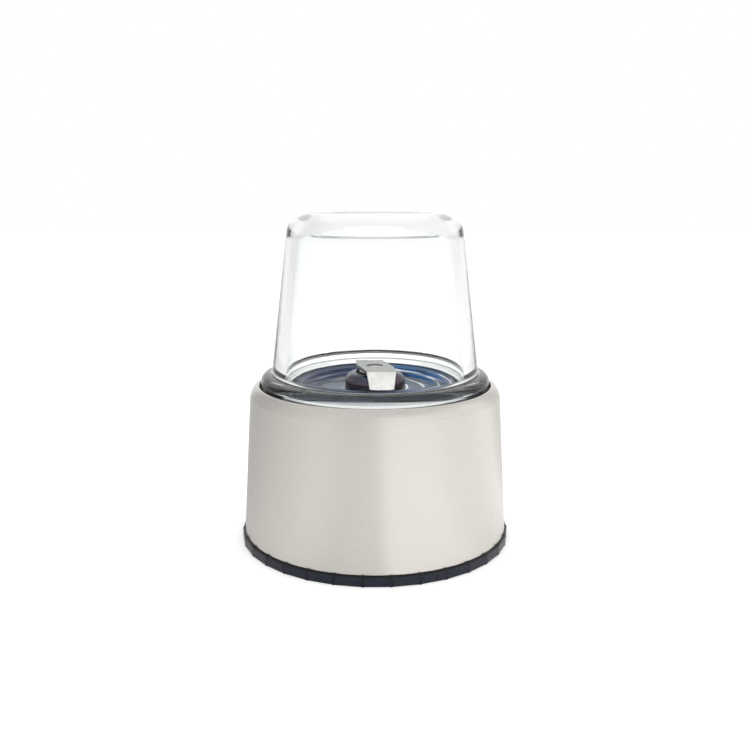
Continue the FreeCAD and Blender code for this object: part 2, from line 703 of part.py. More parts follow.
bends = [
    "Edge%d" % number for number, edge in enumerate(pair.Shape.Edges, 1)
    if all(on_bend(end) for end in edge.Vertexes)
]
bent = body.newObject("PartDesign::Fillet", "bends")
bent.Base = (pair, bends)
bent.setExpression("Radius", bound("bend_round"))
doc.recompute()
half_square = "(square_width / 2 + press_gap)"
extrude(body, "square_hole", "blade_under", "blade_thick", rectangle(
    "-" + half_square, half_square, "square_width + 2 * press_gap"), turn="blade_angle", cut=True)
extrude(body, "stake_recess", "blade_top - 2 * stake_thick", "2 * stake_thick", circle=(
    "0", "stake_d + 2 * press_gap"), cut=True)

body = piece("thrust_washer")
tube(body, "thrust_ring", bearing_r, "thrust_d / 2", "thrust_foot", "thrust_foot + thrust_thick")

# Circlip: a flat ring with a gap, sprung into the spindle's groove
body = piece("circlip")
clip_r = "spindle_d / 2 - groove_depth + press_gap"
tube(body, "clip_ring", clip_r, "clip_d / 2", "clip_foot", "thrust_foot - bearing_gap")
extrude(body, "clip_gap", "clip_foot", "clip_thick", rectangle(
    "0", "clip_d", "spindle_d - 2 * groove_depth"), cut=True)

# Drive coupling: a driven hub with a six-lobed socket for the motor's star
body = piece("drive_coupling")
hub = revolve(body, "coupling_blank", {
    "foot_axis": ("0", "coupling_foot"),
    "foot": ("coupling_d / 2", "coupling_foot"),
    "top": ("coupling_d / 2", "coupling_top"),
    "top_axis": ("0", "coupling_top"),
})
soften(body, hub, hub.Profile[0], ["top"], "star_depth / 4", kind="Chamfer")
extrude(body, "star_core", "coupling_foot", "star_depth", circle=("0", "star_core_d"), cut=True)
lobe = extrude(body, "star_lobe", "coupling_foot", "star_depth", rectangle(
    "0", "star_d / 2", "lobe_width"), cut=True)
repeat(body, [lobe], "lobe_count")
seat_half = "insert_flats / 4 / cos(180 / hex_count)"
for side in range(sizes["hex_count"] // 2):
    extrude(body, "insert_seat_%d" % (side + 1), "star_top", "coupling_top - star_top", rectangle(
        "-" + seat_half, seat_half, "insert_flats"), turn="%d * 360 / hex_count" % side, cut=True)

body = piece("coupling_insert")
insert_r = "(insert_flats / 2 - press_gap) / cos(180 / hex_count)"
tube(body, "insert_blank", "tail_d / 2 + press_gap", insert_r, "star_top", "coupling_top")
flats(body, "insert_flat", "star_top", "coupling_top - star_top", "insert_flats / 2 - press_gap",
      "insert_flats", "hex_count", turn="180 / hex_count")

# Nothing is written unless every object and every shape is sound
for item in doc.Objects:
    if "Invalid" in item.State or "Error" in item.State:
        raise ValueError("%s: %s" % (item.Label, item.State))
for body in pieces:
    if body.Shape.isNull() or not body.Shape.isValid():
        raise ValueError("%s has no sound shape" % body.Label)

os.makedirs("parts", exist_ok=True)
for body in pieces:
    body.Shape.exportStep(os.path.join("parts", body.Label + ".step"))
    print("%-18s %2d solid(s) %10.1f mm3" % (body.Label, len(body.Shape.Solids), body.Shape.Volume))
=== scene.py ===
import math

import bmesh
import bpy
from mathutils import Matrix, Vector


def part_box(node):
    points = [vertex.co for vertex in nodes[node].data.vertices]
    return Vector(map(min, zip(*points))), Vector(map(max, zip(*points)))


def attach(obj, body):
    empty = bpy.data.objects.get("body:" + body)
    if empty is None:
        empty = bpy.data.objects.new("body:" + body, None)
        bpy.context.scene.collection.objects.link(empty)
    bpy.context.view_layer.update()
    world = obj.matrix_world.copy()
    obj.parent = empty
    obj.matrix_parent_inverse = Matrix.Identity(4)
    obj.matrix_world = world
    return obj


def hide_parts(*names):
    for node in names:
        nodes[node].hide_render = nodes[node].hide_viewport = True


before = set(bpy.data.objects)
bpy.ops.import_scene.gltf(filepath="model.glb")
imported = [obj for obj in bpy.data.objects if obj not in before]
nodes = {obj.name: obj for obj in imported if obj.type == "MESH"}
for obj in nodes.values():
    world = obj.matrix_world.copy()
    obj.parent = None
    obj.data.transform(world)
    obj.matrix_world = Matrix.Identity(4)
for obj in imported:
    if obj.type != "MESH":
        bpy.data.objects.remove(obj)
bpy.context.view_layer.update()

scene = bpy.context.scene
mm = 0.001
relief = 0.02 * mm  # height of the fine grain on most pieces
middle = (0.3, 0.7)  # spans that most values of a noise fall in
upper = (0.35, 0.7)


# A shader socket with arithmetic
class Wire:
    def __init__(self, tree, socket=None):
        self.tree = tree
        self.socket = socket

    def node(self, kind, settings, inputs, output=0):
        made = self.tree.nodes.new("ShaderNode" + kind)
        for key, value in settings.items():
            setattr(made, key, value)
        for key, value in inputs.items():
            if isinstance(value, Wire):
                self.tree.links.new(value.socket, made.inputs[key])
            else:
                made.inputs[key].default_value = value
        return Wire(self.tree, made.outputs[output]) if made.outputs else None

    def maths(self, operation, *values):
        return self.node("Math", {"operation": operation}, dict(enumerate(values)))

    def __add__(self, other):
        return self.maths("ADD", self, other)

    def __sub__(self, other):
        return self.maths("SUBTRACT", self, other)

    def __mul__(self, other):
        return self.maths("MULTIPLY", self, other)

    def __truediv__(self, other):
        return self.maths("DIVIDE", self, other)

    def __radd__(self, other):
        return self.maths("ADD", other, self)

    def __rsub__(self, other):
        return self.maths("SUBTRACT", other, self)

    def __rmul__(self, other):
        return self.maths("MULTIPLY", other, self)

    def __rtruediv__(self, other):
        return self.maths("DIVIDE", other, self)

    def axes(self):
        split = self.node("SeparateXYZ", {}, {0: self}).socket.node
        return [Wire(self.tree, socket) for socket in split.outputs]

    def between(self, low, high, start=0.0, end=1.0):
        return self.node("MapRange", {"interpolation_type": "SMOOTHSTEP"},
                         {"Value": self, 1: low, 2: high, 3: start, 4: end})

    def noise(self, scale, detail=2.0, roughness=0.5):
        return self.node("TexNoise", {}, {
            "Vector": self, "Scale": scale, "Detail": detail, "Roughness": roughness,
        })

    def blend(self, first, second):
        return self.node("Mix", {"data_type": "RGBA"}, {0: self, 6: first, 7: second}, 2)

    def bump(self, strength, distance):
        return self.node("Bump", {}, {"Strength": strength, "Distance": distance, "Height": self})


def newMaterial(name):
    # An empty material, and the places on the object in millimetres, whole and by axis
    material = bpy.data.materials.new(name)
    material.use_nodes = True
    material.node_tree.nodes.clear()
    tool = Wire(material.node_tree)
    coordinates = tool.node("TexCoord", {}, {}, "Object")
    where = tool.node("VectorMath", {"operation": "SCALE"}, {0: coordinates, "Scale": 1 / mm})
    return material, tool, where, where.axes()


def surface(material, tool, values):
    # Fills a Principled shader and joins it to the output
    shader = tool.node("BsdfPrincipled", {}, values)
    tool.node("OutputMaterial", {}, {"Surface": shader})
    return material


def fromAxis(tool, x, y):
    return tool.maths("SQRT", x * x + y * y)


def roundAxis(tool, x, y):
    return tool.maths("ARCTAN2", y, x)


def vector(tool, x, y, z):
    return tool.node("CombineXYZ", {}, {0: x, 1: y, 2: z})


# Moulded plastic: a fine spark-eroded grain, soft flow clouds and worn patches
moulded = {"clouds": 0.05, "wear": 0.35, "wearGloss": 0.14}


def plastic(name, look):
    material, tool, where, _ = newMaterial(name)
    grain = where.noise(look["grain"], detail=3.0, roughness=0.6)
    clouds = where.noise(moulded["clouds"], detail=3.0)
    worn = where.noise(moulded["wear"], detail=5.0, roughness=0.65)
    return surface(material, tool, {
        "Base Color": clouds.between(*middle).blend(look["colour"], look["tint"]),
        "Roughness": worn.between(*upper, look["gloss"], look["gloss"] + moulded["wearGloss"]),
        "Normal": grain.bump(look["depth"], relief),
        "Specular IOR Level": look["shine"],
    })


# Metal turned on a lathe: fine rings round the axis, with a little stain; on the hub the stain's brown is a
# painted reflection
turned = {"rings": 9.0, "drift": 0.6, "ringSpan": (0.25, 0.75), "ringGloss": 0.16,
          "stain": 0.18, "stainSpan": (0.35, 0.75)}


def turnedMetal(name, look):
    material, tool, where, (x, y, z) = newMaterial(name)
    across = fromAxis(tool, x, y) * turned["rings"]
    along = roundAxis(tool, x, y) * turned["drift"]
    rings = vector(tool, across, z * turned["rings"], along).noise(1.0, detail=4.0, roughness=0.7)
    stain = where.noise(turned["stain"], detail=4.0, roughness=0.6)
    return surface(material, tool, {
        "Base Color": stain.between(*turned["stainSpan"]).blend(look["colour"], look["tint"]),
        "Metallic": 1.0,
        "Roughness": rings.between(*turned["ringSpan"], look["gloss"], look["gloss"] + turned["ringGloss"]),
        "Normal": rings.bump(look["depth"], relief),
    })


# Stamped or plated sheet: rolled streaks, tiny pits and a mottled plating
stamped = {"along": 0.4, "across": 8.0, "pits": 3.5, "pitShare": 0.4, "mottle": 0.25, "wearGloss": 0.18}


def stampedMetal(name, look):
    material, tool, where, (x, y, z) = newMaterial(name)
    rolled = vector(tool, x * stamped["along"], y * stamped["across"], z * stamped["across"])
    streaks = rolled.noise(1.0, detail=4.0, roughness=0.65)
    pits = where.noise(stamped["pits"])
    mottle = where.noise(stamped["mottle"], detail=4.0, roughness=0.6)
    wear = streaks * (1 - stamped["pitShare"]) + pits * stamped["pitShare"]
    return surface(material, tool, {
        "Base Color": mottle.between(*middle).blend(look["colour"], look["tint"]),
        "Metallic": 1.0,
        "Roughness": wear.between(*middle, look["gloss"], look["gloss"] + stamped["wearGloss"]),
        "Normal": (streaks + pits).bump(look["depth"], relief),
    })


# Moulded rubber: a matt bloom over a fine, slightly sandy skin
rubbery = {"skin": 5.0, "relief": 0.03, "bloom": 0.2, "bloomSpan": (0.35, 0.75), "bloomGloss": 0.12}


def rubber(name, look):
    material, tool, where, _ = newMaterial(name)
    skin = where.noise(rubbery["skin"], detail=3.0, roughness=0.7)
    bloom = where.noise(rubbery["bloom"], detail=4.0, roughness=0.6)
    return surface(material, tool, {
        "Base Color": bloom.between(*rubbery["bloomSpan"]).blend(look["colour"], look["tint"]),
        "Roughness": bloom.between(*middle, look["gloss"], look["gloss"] + rubbery["bloomGloss"]),
        "Normal": skin.bump(look["depth"], rubbery["relief"] * mm),
    })


# Rounds the corners of an outline, each given as its radius, height and rounding in mm
def roundOutline(corners, steps=8):
    outline = []
    for i, (r, z, rounding) in enumerate(corners):
        here = Vector((r, z))
        if rounding == 0:
            outline.append(here)
            continue
        before = (Vector(corners[i - 1][:2]) - here).normalized()
        after = (Vector(corners[(i + 1) % len(corners)][:2]) - here).normalized()
        half = before.angle(after) / 2
        centre = here + (before + after).normalized() * (rounding / math.sin(half))
        start = here + before * (rounding / math.tan(half)) - centre
        end = here + after * (rounding / math.tan(half)) - centre
        sweep = math.pi - 2 * half
        for k in range(steps + 1):
            share = k / steps
            arm = start * math.sin((1 - share) * sweep) + end * math.sin(share * sweep)
            outline.append(centre + arm / math.sin(sweep))
    return outline


turning = {"onAxis": 1e-6, "sharpAngle": 32}


# Turns an outline round the Z axis; an outline that ends on the axis gets one point there
def lathe(name, outline, count, closed=True, shape=None):
    made = bmesh.new()
    columns = []
    for p in outline:
        if p.x < turning["onAxis"]:
            columns.append([made.verts.new((0, 0, p.y * mm))] * count)
            continue
        ring = []
        for k in range(count):
            turn = 2 * math.pi * k / count
            r = shape(p.x, p.y, turn) if shape else p.x
            ring.append(made.verts.new((r * math.cos(turn) * mm, r * math.sin(turn) * mm, p.y * mm)))
        columns.append(ring)
    last = len(columns) if closed else len(columns) - 1
    for i in range(last):
        low, high = columns[i], columns[(i + 1) % len(columns)]
        for k in range(count):
            n = (k + 1) % count
            corners = []
            for v in (low[k], low[n], high[n], high[k]):
                if v not in corners:
                    corners.append(v)
            if len(corners) > 2:
                made.faces.new(corners)
    bmesh.ops.recalc_face_normals(made, faces=made.faces)
    mesh = bpy.data.meshes.new(name)
    made.to_mesh(mesh)
    made.free()
    mesh.shade_smooth()
    mesh.set_sharp_from_angle(angle=math.radians(turning["sharpAngle"]))
    piece = bpy.data.objects.new(name, mesh)
    scene.collection.objects.link(piece)
    return piece


def place(piece, body, node, material, replace=True):
    # A piece rides on a body, takes a finish, and stands for a CAD node or lies over it
    piece.data.materials.clear()
    piece.data.materials.append(material)
    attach(piece, body)
    if replace:
        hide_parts(node)


brokenEdge = {"segments": 2, "angle": 35}


def dress(node, material, edge=0.0):
    # A CAD node keeps its shape and gets a finish, with its sharp edges broken if asked
    made = nodes[node]
    made.data.materials.clear()
    made.data.materials.append(material)
    if edge:
        bevel = made.modifiers.new("edge", "BEVEL")
        bevel.width = edge * mm
        bevel.segments = brokenEdge["segments"]
        bevel.limit_method = "ANGLE"
        bevel.angle_limit = math.radians(brokenEdge["angle"])
        bevel.use_clamp_overlap = True
        bevel.harden_normals = True


def boxOf(node):
    return [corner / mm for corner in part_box(node)]


# Steel sleeve: brushed round, with the shoulder rolled over to the lip, and painted near black inside as
# painted shade
sleeve = {
    "wall": 0.8,
    "round": 6.5,
    "shoulder": (51.4, 63.7),
    "lip": (47.4, 66.5),
    "lipRound": 0.85,
    "lipFoot": 63.9,
    "lipInside": 64.96,
    "shoulderInside": 63.28,
    "edge": 0.2,
    "columns": 256,
    "colour": (0.655, 0.625, 0.585, 1),
    "bright": (0.705, 0.68, 0.64, 1),
    # inside: painted shade, near black on the sleeve's inside faces
    "inside": (0.03, 0.03, 0.035, 1),
    "insideShadeSpan": (0.15, 0.35),  # from the lip's radius outwards
    "hair": (5.0, 11.0),  # scale of the brushing round the sleeve and up it
    "streak": (2.2, 2.6),
    "hairShare": 0.65,
    "gloss": (0.22, 0.30),
    "depth": 0.30,
}


def brushedSteel():
    material, tool, _, (x, y, z) = newMaterial("brushed_steel")
    radius = fromAxis(tool, x, y)
    around = vector(tool, x / radius, y / radius, 0.0)

    def brushing(turn, rise):
        up = vector(tool, 0.0, 0.0, z * rise)
        return tool.node("VectorMath", {"operation": "MULTIPLY_ADD"},
                         {0: around, 1: (turn, turn, turn), 2: up})

    hair = brushing(*sleeve["hair"]).noise(1.0, detail=4.0, roughness=0.75)
    streak = brushing(*sleeve["streak"]).noise(1.0, detail=3.0, roughness=0.6)
    lines = hair * sleeve["hairShare"] + streak * (1 - sleeve["hairShare"])
    brushed = lines.between(*middle).blend(sleeve["colour"], sleeve["bright"])
    # Painted shade: inside the lip's radius the steel goes near black
    within = (radius - sleeve["lip"][0]).between(*sleeve["insideShadeSpan"], 1.0, 0.0)
    return surface(material, tool, {
        "Base Color": within.blend(brushed, sleeve["inside"]),
        "Metallic": 1.0,
        "Roughness": lines.between(*middle, *sleeve["gloss"]),
        "Normal": hair.bump(sleeve["depth"], relief),
    })


low, high = boxOf("steel_sleeve")
wall, edge, lipRadius = sleeve["wall"], sleeve["edge"], sleeve["lip"][0]
sleeveOutline = roundOutline([
    (high.x, low.z, edge),
    (*sleeve["shoulder"], sleeve["round"]),
    (*sleeve["lip"], sleeve["lipRound"]),
    (lipRadius, sleeve["lipFoot"], edge),
    (lipRadius + wall, sleeve["lipFoot"], edge),
    (lipRadius + wall, sleeve["lipInside"], 0),
    (sleeve["shoulder"][0] - wall, sleeve["shoulderInside"], sleeve["round"] - wall),
    (high.x - wall, low.z, edge),
])
place(lathe("sleeve", sleeveOutline, sleeve["columns"]), "base", "steel_sleeve", brushedSteel())
print("steel sleeve")

# Ring band: the facets of the base ring, with fine grooves at their corners, over its ribs. Painted shade
# blackens each groove, and painted shadow blackens the top and bottom rims.
band = {
    "foot": 0.03,
    "top": 4.18,
    "inside": 54.2,
    "radius": 56.04,
    "round": 0.4,
    "insideRound": 0.1,
    "roundSteps": 4,
    "facetFrom": 54.7,  # the part within this radius stays round
    "facets": 32,
    "columns": 1440,
    "phase": 6.5,  # degrees to the first corner
    "grooveDepth": 0.03,
    "grooveHalf": 0.1,  # degrees
    "lineSpan": (0.018, 0.034),  # half width of the painted shade line in each groove, in facets
    # rim: height of the painted shadow bands at the top and the bottom
    "rim": 0.45,
    "rimFade": 0.1,
    "colour": (0.0085, 0.0110, 0.0220, 1),
    "tint": (0.0125, 0.0155, 0.0280, 1),
    "black": (0.0015, 0.0015, 0.0020, 1),
    "grain": 6.0,
    "wear": 0.35,
    "gloss": (0.24, 0.36),
    "depth": 0.12,
    "shine": 0.3,
}


def bandPlastic():
    material, tool, where, (x, y, z) = newMaterial("band_plastic")
    grain = where.noise(band["grain"], detail=3.0, roughness=0.6)
    worn = where.noise(band["wear"], detail=5.0, roughness=0.65)
    degrees = roundAxis(tool, x, y) * math.degrees(1)
    facet = (degrees - band["phase"]) / (360 / band["facets"])
    # Painted shade in the groove at each corner, and painted shadow at the top and bottom rims
    groove = tool.maths("PINGPONG", facet, 0.5).between(*band["lineSpan"], 1.0, 0.0)
    topRim = band["top"] - band["rim"]
    rimShadow = tool.maths("MAXIMUM", z.between(topRim - band["rimFade"], topRim),
                      z.between(band["rim"] - band["rimFade"], band["rim"], 1.0, 0.0))
    face = worn.between(*upper).blend(band["colour"], band["tint"])
    return surface(material, tool, {
        "Base Color": tool.maths("MAXIMUM", groove, rimShadow).blend(face, band["black"]),
        "Roughness": worn.between(*upper, *band["gloss"]),
        "Normal": grain.bump(band["depth"], relief),
        "Specular IOR Level": band["shine"],
    })


def bandFacet(r, z, turn):
    if r < band["facetFrom"]:
        return r
    half = math.pi / band["facets"]
    off = (turn - math.radians(band["phase"])) % (2 * half) - half
    groove = band["grooveDepth"] if half - abs(off) < math.radians(band["grooveHalf"]) else 0
    return r * math.cos(half) / math.cos(off) - groove


bandOutline = roundOutline([
    (band["inside"], band["foot"], band["insideRound"]),
    (band["radius"], band["foot"], band["round"]),
    (band["radius"], band["top"], band["round"]),
    (band["inside"], band["top"], band["insideRound"]),
], band["roundSteps"])
bandPiece = lathe("ring_band", bandOutline, band["columns"], shape=bandFacet)
place(bandPiece, "base", "base_ring", bandPlastic(), replace=False)
print("ring band")

# Glass cup: pressed glass with a rolled bead, lugs on its neck and a shallow punt in its top
cup = {
    "mouth": 37.0,
    "mouthRound": 0.9,
    "neck": 41.0,
    "beadFoot": 64.1,
    "beadHeel": (44.4, 64.95),
    "heelRound": 1.0,
    "beadLow": 66.7,
    "lowRound": 0.2,
    "beadTop": 70.1,
    "beadRound": 3.0,
    "wallFoot": 42.5,
    "wallFootRound": 2.0,
    "insideRound": 6.0,
    "topRadius": 34.6,
    "shoulder": 8.0,
    "roof": 4.0,
    "roofRadius": 30.2,
    "corner": 8.0,
    "puntRadius": 23.0,
    "puntDepth": 0.1,
    "puntSlope": 0.5,
    "lugs": 3,
    "lugReach": 1.9,
    "lugFoot": 57.0,
    "lugTop": 60.0,
    "lugSlope": 0.3,
    "lugSpan": 44.0,  # degrees
    "lugEnd": 1.5,
    "neckSlack": 0.1,
    "columns": 288,
    "roundSteps": 12,
    "colour": (0.978, 0.994, 0.984, 1),
    "mirror": (0.2, 0.2, 0.2, 1),
    "index": 1.45,
    "wave": 0.06,
    "ripple": 0.35,
    "rippleShare": 0.15,
    "depth": 0.08,
    "relief": 0.35,
}


def clearGlass():
    material, tool, where, _ = newMaterial("clear_glass")
    waves = where.noise(cup["wave"]) + where.noise(cup["ripple"]) * cup["rippleShare"]
    return surface(material, tool, {
        "Base Color": cup["colour"],
        "Roughness": 0.0,
        "IOR": cup["index"],
        "Transmission Weight": 1.0,
        "Specular Tint": cup["mirror"],
        "Normal": waves.bump(cup["depth"], cup["relief"] * mm),
    })


def lugSwell(r, z, turn):
    # The neck swells into the lugs
    if not cup["lugFoot"] < z < cup["lugTop"] or abs(r - cup["neck"]) >= cup["neckSlack"]:
        return r
    pitch = 360 / cup["lugs"]
    off = abs((math.degrees(turn) + pitch / 2) % pitch - pitch / 2)
    share = min(max((cup["lugSpan"] / 2 - off) / cup["lugEnd"], 0), 1)
    return r + cup["lugReach"] * share


low, high = boxOf("glass_cup")
cupOutline = roundOutline([
    (0, high.z - cup["roof"], 0),
    (cup["roofRadius"], high.z - cup["roof"], cup["corner"]),
    (cup["mouth"], cup["beadTop"], cup["insideRound"]),
    (cup["mouth"], low.z, cup["mouthRound"]),
    (cup["neck"], low.z, cup["mouthRound"]),
    (cup["neck"], cup["lugFoot"], 0),
    (cup["neck"], cup["lugFoot"] + cup["lugSlope"], 0),
    (cup["neck"], cup["lugTop"] - cup["lugSlope"], 0),
    (cup["neck"], cup["lugTop"], 0),
    (cup["neck"], cup["beadFoot"], 0),
    (*cup["beadHeel"], cup["heelRound"]),
    (high.x, cup["beadLow"], cup["lowRound"]),
    (high.x, cup["beadTop"], cup["beadRound"]),
    (cup["wallFoot"], cup["beadTop"], cup["wallFootRound"]),
    (cup["topRadius"], high.z, cup["shoulder"]),
    (cup["puntRadius"] + cup["puntSlope"], high.z, 0),
    (cup["puntRadius"], high.z - cup["puntDepth"], 0),
    (0, high.z - cup["puntDepth"], 0),
], cup["roundSteps"])
cupPiece = lathe("cup", cupOutline, cup["columns"], closed=False, shape=lugSwell)
place(cupPiece, "cup", "glass_cup", clearGlass())
print("glass cup")

# Grinding dish: polished, with two concentric steps; slate on the left, and on the right a painted
# reflection in blue and white
dish = {
    "eye": 9.15,
    "floor": 63.0,
    "thick": 0.8,
    "innerStep": 25.4,
    "outerStep": 29.7,
    "stepWidth": 0.9,
    "rise": 0.9,
    "underRound": 0.3,
    "stepRound": 0.4,
    "rimRound": 0.55,
    "rimInside": 0.15,
    "footRound": 0.1,
    "columns": 192,
    "slate": (0.100, 0.125, 0.190, 1),
    "navy": (0.028, 0.040, 0.090, 1),
    "ink": (0.004, 0.008, 0.028, 1),
    # blue, ink and pale: a painted reflection on the right, blue with darker pools and pale arcs
    "blueReflection": (0.002, 0.085, 0.25, 1),
    "pale": (0.80, 0.84, 0.90, 1),
    "edge": (0.62, 0.63, 0.66, 1),
    "rightLean": 0.25,
    "rightSpan": (-2.0, 12.0),
    "navySpan": (17.0, 31.0),
    "edgeSpan": (35.4, 35.9),
    "rings": (3.0, 0.5),  # scale outwards and round
    "reflectedArcs": (0.42, 0.7),
    "reflectedArcSpan": (0.53, 0.60),
    "pools": (0.16, 1.1),
    "poolSeed": 4.0,
    "poolSpan": (0.42, 0.58),
    "smear": 0.07,
    "gloss": (0.10, 0.22),
    "depth": 0.06,
}


def polishedDish():
    material, tool, where, (x, y, z) = newMaterial("polished_dish")
    radius, angle = fromAxis(tool, x, y), roundAxis(tool, x, y)

    def swirl(scale, height):
        return vector(tool, radius * scale[0], angle * scale[1], height)

    rings = swirl(dish["rings"], z).noise(1.0, detail=3.0, roughness=0.6)
    reflectedArcs = swirl(dish["reflectedArcs"], 0.0).noise(1.0)
    pools = swirl(dish["pools"], dish["poolSeed"]).noise(1.0, detail=3.0, roughness=0.6)
    smear = where.noise(dish["smear"], detail=3.0, roughness=0.6)
    # Painted reflection: towards the right the face turns blue, with darker pools and pale arcs
    right = (x + y * dish["rightLean"]).between(*dish["rightSpan"])
    slate = radius.between(*dish["navySpan"]).blend(dish["slate"], dish["navy"])
    blueReflection = pools.between(*dish["poolSpan"]).blend(dish["blueReflection"], dish["ink"])
    face = (reflectedArcs.between(*dish["reflectedArcSpan"]) * right).blend(right.blend(slate, blueReflection), dish["pale"])
    return surface(material, tool, {
        "Base Color": radius.between(*dish["edgeSpan"]).blend(face, dish["edge"]),
        "Metallic": 1.0,
        "Roughness": smear.between(*middle, *dish["gloss"]),
        "Normal": rings.bump(dish["depth"], relief),
    })


low, high = boxOf("grinding_dish")
thick, rise = dish["thick"], dish["rise"]
top, under = dish["floor"], dish["floor"] - thick
innerEnd, outerEnd = dish["innerStep"] + dish["stepWidth"], dish["outerStep"] + dish["stepWidth"]
dishOutline = roundOutline([
    (dish["eye"], under, 0),
    (dish["innerStep"] + thick / 2, under, dish["underRound"]),
    (innerEnd + thick / 2, under + rise, dish["underRound"]),
    (dish["outerStep"] + thick / 2, under + rise, dish["underRound"]),
    (outerEnd + thick / 2, under + 2 * rise, dish["underRound"]),
    (high.x - thick, high.z - thick, dish["rimInside"]),
    (high.x - thick, low.z, dish["footRound"]),
    (high.x, low.z, dish["footRound"]),
    (high.x, high.z, dish["rimRound"]),
    (outerEnd, top + 2 * rise, dish["stepRound"]),
    (dish["outerStep"], top + rise, dish["stepRound"]),
    (innerEnd, top + rise, dish["stepRound"]),
    (dish["innerStep"], top, dish["stepRound"]),
    (dish["eye"], top, 0),
])
place(lathe("dish", dishOutline, dish["columns"]), "base", "grinding_dish", polishedDish())
print("grinding dish")

# Bearing housing: a domed hub, polished, on a turned stem, with brown blotches as a painted reflection
housing = {
    "stem": 9.0,
    "stemRound": 0.4,
    "floor": 63.0,
    "flangeRound": 0.2,
    "hubRound": 4.0,
    "sealBore": 7.5,
    "sealRound": 0.25,
    "sealSeat": 66.1,
    "bushBore": 6.0,
    "bushLength": 12.0,
    "bushRound": 0.3,
    "relief": 5.0,
    "columns": 128,
    "colour": (0.045, 0.05, 0.085, 1),
    # tint: brown, a painted reflection in the hub's blotches
    "tint": (0.14, 0.075, 0.055, 1),
    "gloss": 0.04,
    "depth": 0.05,
}
low, high = boxOf("bearing_housing")
upperEnd, lowerEnd = housing["sealSeat"] - housing["bushLength"], low.z + housing["bushLength"]
housingOutline = roundOutline([
    (housing["stem"], low.z, housing["stemRound"]),
    (housing["stem"], housing["floor"], 0),
    (high.x, housing["floor"], housing["flangeRound"]),
    (high.x, high.z, housing["hubRound"]),
    (housing["sealBore"], high.z, housing["sealRound"]),
    (housing["sealBore"], housing["sealSeat"], 0),
    (housing["bushBore"], housing["sealSeat"], housing["flangeRound"]),
    (housing["bushBore"], upperEnd, 0),
    (housing["relief"], upperEnd, 0),
    (housing["relief"], lowerEnd, 0),
    (housing["bushBore"], lowerEnd, 0),
    (housing["bushBore"], low.z, housing["bushRound"]),
])
housingPiece = lathe("housing", housingOutline, housing["columns"])
place(housingPiece, "base", "bearing_housing", turnedMetal("polished_hub", housing))
print("bearing housing")

# Blade: brushed along its length, with the wings painted brighter than the plate as lit and shaded copies of
# one steel, and painted shade in the recess round the spindle's end
blade = {
    # Lit and shaded copies of one steel: the plate painted darker, the wings painted brighter
    "shadedPlate": (0.34, 0.34, 0.345, 1),
    "shadedPlateTint": (0.40, 0.40, 0.40, 1),
    "wing": (0.52, 0.51, 0.50, 1),
    "wingTint": (0.60, 0.59, 0.57, 1),
    "wingSpan": (11.2, 11.9),
    "recessShade": (0.035, 0.035, 0.04, 1),
    "recessShadeShift": 0.3,
    "recessShadeSpan": (3.4, 4.0),
    "shadeLean": 0.7,
    "shadeSpan": (-3.5, 1.0),
    "shadeLeast": 0.35,
    "grit": (9.0, 0.5),  # scale across the blade and along it
    "stain": 0.3,
    "gloss": (0.22, 0.36),
    "depth": 0.15,
    "edge": 0.15,
}


def bladeSteel():
    material, tool, where, (x, y, z) = newMaterial("blade_steel")
    across, along = blade["grit"]
    grit = vector(tool, x * across, y * along, z * across).noise(1.0, detail=4.0, roughness=0.7)
    stain = where.noise(blade["stain"], detail=3.0).between(*middle)
    # Painted light: the wings lighter and the plate darker, though both are the same steel
    shadedPlate = stain.blend(blade["shadedPlate"], blade["shadedPlateTint"])
    wing = stain.blend(blade["wing"], blade["wingTint"])
    # Painted shade: the recess round the spindle's end goes dark, more on one side
    radius = fromAxis(tool, x + blade["recessShadeShift"], y - blade["recessShadeShift"])
    lean = x * blade["shadeLean"] + y * blade["shadeLean"]
    shade = lean.between(*blade["shadeSpan"], 1.0, blade["shadeLeast"])
    shadedPlate = (radius.between(*blade["recessShadeSpan"], 1.0, 0.0) * shade).blend(shadedPlate, blade["recessShade"])
    return surface(material, tool, {
        "Base Color": tool.maths("ABSOLUTE", y).between(*blade["wingSpan"]).blend(shadedPlate, wing),
        "Metallic": 1.0,
        "Roughness": grit.between(*middle, *blade["gloss"]),
        "Normal": grit.bump(blade["depth"], relief),
    })


dress("grinding_blade", bladeSteel(), blade["edge"])
print("blade")

# Lock ring: grey plastic, painted black as painted shade on the faces that show in the gap above the lip
lock = {
    "grey": (0.66, 0.74, 0.84, 1),
    "pale": (0.74, 0.81, 0.89, 1),
    "black": (0.006, 0.006, 0.008, 1),
    "top": 63.3,
    "rim": 45.8,
    "fade": 0.2,
    "grain": 4.0,
    "wear": 0.3,
    "gloss": (0.35, 0.5),
    "depth": 0.15,
}


def lockPlastic():
    material, tool, where, (x, y, z) = newMaterial("lock_plastic")
    grain = where.noise(lock["grain"], detail=3.0, roughness=0.6)
    worn = where.noise(lock["wear"], detail=4.0, roughness=0.6)
    grey = worn.between(*upper).blend(lock["grey"], lock["pale"])
    # Painted shade: the top face and the outer wall, in the dark gap above the lip, go black
    gapShade = tool.maths("MAXIMUM", z.between(lock["top"] - lock["fade"], lock["top"]),
                         fromAxis(tool, x, y).between(lock["rim"] - lock["fade"], lock["rim"]))
    return surface(material, tool, {
        "Base Color": gapShade.blend(grey, lock["black"]),
        "Roughness": worn.between(*middle, *lock["gloss"]),
        "Normal": grain.bump(lock["depth"], relief),
    })


dress("lock_ring", lockPlastic())
print("lock ring")

